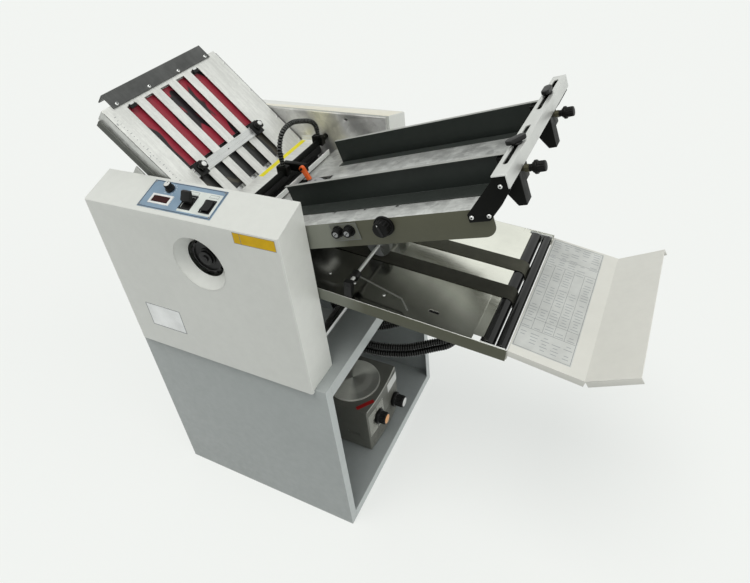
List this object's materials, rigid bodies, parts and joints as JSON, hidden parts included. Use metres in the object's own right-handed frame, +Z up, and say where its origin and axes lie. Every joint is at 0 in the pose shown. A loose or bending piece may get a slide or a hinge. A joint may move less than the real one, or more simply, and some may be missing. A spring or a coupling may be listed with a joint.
{
  "type": "paper folding machine",
  "caption": "Air-fed buckle paper folder on a floor stand, with sloped feed table, slotted fold plates, delivery table with catch tray and an air pump below.",
  "frame": {"origin": "middle of the stand's footprint, on the floor", "axes": "+X toward the feed and delivery end, -Y the operator's side, +Z up"},
  "size_m": [1.2189, 0.612, 1.1848],
  "materials": {
    "stand_paint": "satin",
    "cover_paint": "satin",
    "galvanised": "mottled zinc",
    "bright_steel": "brushed",
    "dark_steel": "satin",
    "black_steel": "satin",
    "roller_steel": "knurled",
    "black_plastic": "matte",
    "panel_print": "satin",
    "orange_plastic": "gloss",
    "white_plastic": "matte",
    "grey_wheel": "matte",
    "belt_rubber": "matte",
    "hose_rubber": "ribbed",
    "tray_paint": "satin",
    "pump_shell": "hammered",
    "light_steel": "satin"
  },
  "bodies": {
    "machine": {"stand_side_near": "stand_paint", "stand_side_far": "stand_paint", "stand_end_panel": "stand_paint", "stand_shelves": "stand_paint", "fasteners": "bright_steel", "side_frame_near": "galvanised", "side_frame_far": "galvanised", "tie_bars": "bright_steel", "side_cover_near": "cover_paint", "side_cover_far": "cover_paint", "control_panel": "panel_print", "bearings": "bright_steel", "plate1_upper_grid": "bright_steel", "plate1_lower_grid": "galvanised", "plate1_side_rails": "dark_steel", "plate1_end_bar": "dark_steel", "plate2_cassette": "galvanised", "roller_cover": "bright_steel", "feed_bar": "black_steel", "register_strip": "white_plastic", "feed_table": "galvanised", "crossbar": "bright_steel", "crossbar_brackets": "black_steel", "valve_plate": "bright_steel", "delivery_table": "galvanised", "delivery_belts": "belt_rubber", "catch_tray": "tray_paint", "pump_housing": "pump_shell", "air_hoses": "hose_rubber", "feeder_hose": "hose_rubber", "hose_fittings": "black_plastic"},
    "main_roller": {"fold_roller_2": "roller_steel", "handwheel": "black_plastic"},
    "roller_1": {"fold_roller_1": "roller_steel"},
    "roller_3": {"fold_roller_3": "roller_steel"},
    "roller_4": {"fold_roller_4": "roller_steel"},
    "suction": {"suction_wheel": "grey_wheel"},
    "belt_drive": {"belt_roller": "roller_steel"},
    "end_inner": {"end_roller_inner": "roller_steel"},
    "end_outer": {"end_roller_outer": "roller_steel"},
    "speed": {"speed_knob": "black_plastic"},
    "paddle": {"paddle_switch": "black_plastic"},
    "rocker": {"rocker_switch": "black_plastic"},
    "stop_1": {"plate1_stop_bar": "bright_steel"},
    "stop_1_knob_near": {"plate1_knob_near": "black_plastic"},
    "stop_1_knob_far": {"plate1_knob_far": "black_plastic"},
    "stop_2": {"plate2_stop_bar": "bright_steel"},
    "guide_near": {"side_guide_near": "dark_steel"},
    "guide_far": {"side_guide_far": "dark_steel"},
    "guide_near_knob": {"guide_knob_near": "black_plastic"},
    "guide_far_knob": {"guide_knob_far": "black_plastic"},
    "guide_near_screw": {"guide_screw_near": "black_plastic"},
    "guide_far_screw": {"guide_screw_far": "black_plastic"},
    "valve_left": {"valve_knob_left": "black_plastic"},
    "valve_right": {"valve_knob_right": "black_plastic"},
    "lift": {"lift_knob": "black_plastic"},
    "lever": {"feed_lever": "orange_plastic"},
    "stacker": {"stacker_rod": "light_steel"},
    "pump_near": {"pump_knob_near": "black_plastic"},
    "pump_far": {"pump_knob_far": "black_plastic"}
  },
  "joints": [
    {"name": "main_roller_turn", "type": "hinge", "parent": "machine", "child": "main_roller", "pos_m": [0.03, 0, 0.87], "axis": [0, 1, 0], "continuous": true},
    {"name": "roller_1_turn", "type": "hinge", "parent": "machine", "child": "roller_1", "pos_m": [0.03914, 0, 0.9041], "axis": [0, 1, 0], "continuous": true},
    {"name": "roller_3_turn", "type": "hinge", "parent": "machine", "child": "roller_3", "pos_m": [-0.00199, 0, 0.88492], "axis": [0, 1, 0], "continuous": true},
    {"name": "roller_4_turn", "type": "hinge", "parent": "machine", "child": "roller_4", "pos_m": [0.02086, 0, 0.8359], "axis": [0, 1, 0], "continuous": true},
    {"name": "belt_roller_turn", "type": "hinge", "parent": "machine", "child": "belt_drive", "pos_m": [0.085, 0, 0.792], "axis": [0, 1, 0], "continuous": true},
    {"name": "end_inner_turn", "type": "hinge", "parent": "machine", "child": "end_inner", "pos_m": [0.63825, 0, 0.73678], "axis": [0, 1, 0], "continuous": true},
    {"name": "end_outer_turn", "type": "hinge", "parent": "machine", "child": "end_outer", "pos_m": [0.66641, 0, 0.73698], "axis": [0, 1, 0], "continuous": true},
    {"name": "suction_turn", "type": "hinge", "parent": "machine", "child": "suction", "pos_m": [0.15, 0, 0.88362], "axis": [0, 1, 0], "continuous": true},
    {"name": "speed_turn", "type": "hinge", "parent": "machine", "child": "speed", "pos_m": [-0.059, -0.23982, 1.00897], "axis": [0, -0.2934, 0.956], "range_deg": [-140, 140]},
    {"name": "paddle_tip", "type": "hinge", "parent": "machine", "child": "paddle", "pos_m": [0.009, -0.26425, 1.00336], "axis": [1, 0, 0], "range_deg": [0, 40]},
    {"name": "rocker_tip", "type": "hinge", "parent": "machine", "child": "rocker", "pos_m": [0.064, -0.26557, 1.00086], "axis": [1, 0, 0], "range_deg": [-10, 10]},
    {"name": "stop_1_slide", "type": "slide", "parent": "machine", "child": "stop_1", "axis": [-0.7071, 0, 0.7071], "range_m": [-0.07, 0.19]},
    {"name": "stop_1_knob_near_turn", "type": "hinge", "parent": "stop_1", "child": "stop_1_knob_near", "pos_m": [-0.06316, -0.128, 1.00422], "axis": [0.7071, 0, 0.7071], "range_deg": [0, 270]},
    {"name": "stop_1_knob_far_turn", "type": "hinge", "parent": "stop_1", "child": "stop_1_knob_far", "pos_m": [-0.06316, 0.1, 1.00422], "axis": [0.7071, 0, 0.7071], "range_deg": [0, 270]},
    {"name": "stop_2_slide", "type": "slide", "parent": "machine", "child": "stop_2", "axis": [0.7071, 0, 0.7071], "range_m": [-0.125, 0.07]},
    {"name": "guide_near_slide", "type": "slide", "parent": "machine", "child": "guide_near", "axis": [0, 1, 0], "range_m": [-0.04, 0.045]},
    {"name": "guide_near_knob_turn", "type": "hinge", "parent": "guide_near", "child": "guide_near_knob", "pos_m": [0.65841, -0.104, 1.13572], "axis": [-0.2807, 0, 0.9598], "range_deg": [0, 270]},
    {"name": "guide_near_screw_turn", "type": "hinge", "parent": "guide_near", "child": "guide_near_screw", "pos_m": [0.65746, -0.14, 1.10335], "axis": [0.9598, 0, 0.2807], "range_deg": [0, 270]},
    {"name": "guide_far_slide", "type": "slide", "parent": "machine", "child": "guide_far", "axis": [0, 1, 0], "range_m": [-0.06, 0.04]},
    {"name": "guide_far_knob_turn", "type": "hinge", "parent": "guide_far", "child": "guide_far_knob", "pos_m": [0.65841, 0.118, 1.13572], "axis": [-0.2807, 0, 0.9598], "range_deg": [0, 270]},
    {"name": "guide_far_screw_turn", "type": "hinge", "parent": "guide_far", "child": "guide_far_screw", "pos_m": [0.65746, 0.082, 1.10335], "axis": [0.9598, 0, 0.2807], "range_deg": [0, 270]},
    {"name": "valve_left_turn", "type": "hinge", "parent": "machine", "child": "valve_left", "pos_m": [0.3418, -0.2083, 0.95895], "axis": [0, -1, 0], "range_deg": [-135, 135]},
    {"name": "valve_right_turn", "type": "hinge", "parent": "machine", "child": "valve_right", "pos_m": [0.36771, -0.2083, 0.96653], "axis": [0, -1, 0], "range_deg": [-135, 135]},
    {"name": "lift_turn", "type": "hinge", "parent": "machine", "child": "lift", "pos_m": [0.44414, -0.2063, 0.992], "axis": [0, -1, 0], "range_deg": [-160, 160]},
    {"name": "lever_swing", "type": "hinge", "parent": "machine", "child": "lever", "pos_m": [0.118, 0.01435, 0.951], "axis": [0, 1, 0], "range_deg": [-70, 0]},
    {"name": "stacker_slide", "type": "slide", "parent": "machine", "child": "stacker", "axis": [0.9951, 0, -0.0993], "range_m": [-0.08, 0.12]},
    {"name": "pump_near_turn", "type": "hinge", "parent": "machine", "child": "pump_near", "pos_m": [0.257, -0.0215, 0.139], "axis": [1, 0, 0], "range_deg": [-135, 135]},
    {"name": "pump_far_turn", "type": "hinge", "parent": "machine", "child": "pump_far", "pos_m": [0.257, 0.086, 0.1], "axis": [1, 0, 0], "range_deg": [-135, 135]}
  ],
  "couplings": [
    {"joint": "roller_1_turn", "follows": "main_roller_turn", "ratio": -1},
    {"joint": "roller_3_turn", "follows": "main_roller_turn", "ratio": -1},
    {"joint": "roller_4_turn", "follows": "main_roller_turn", "ratio": -1},
    {"joint": "belt_roller_turn", "follows": "main_roller_turn", "ratio": -1},
    {"joint": "end_inner_turn", "follows": "main_roller_turn", "ratio": -1},
    {"joint": "end_outer_turn", "follows": "main_roller_turn", "ratio": -1.57}
  ]
}
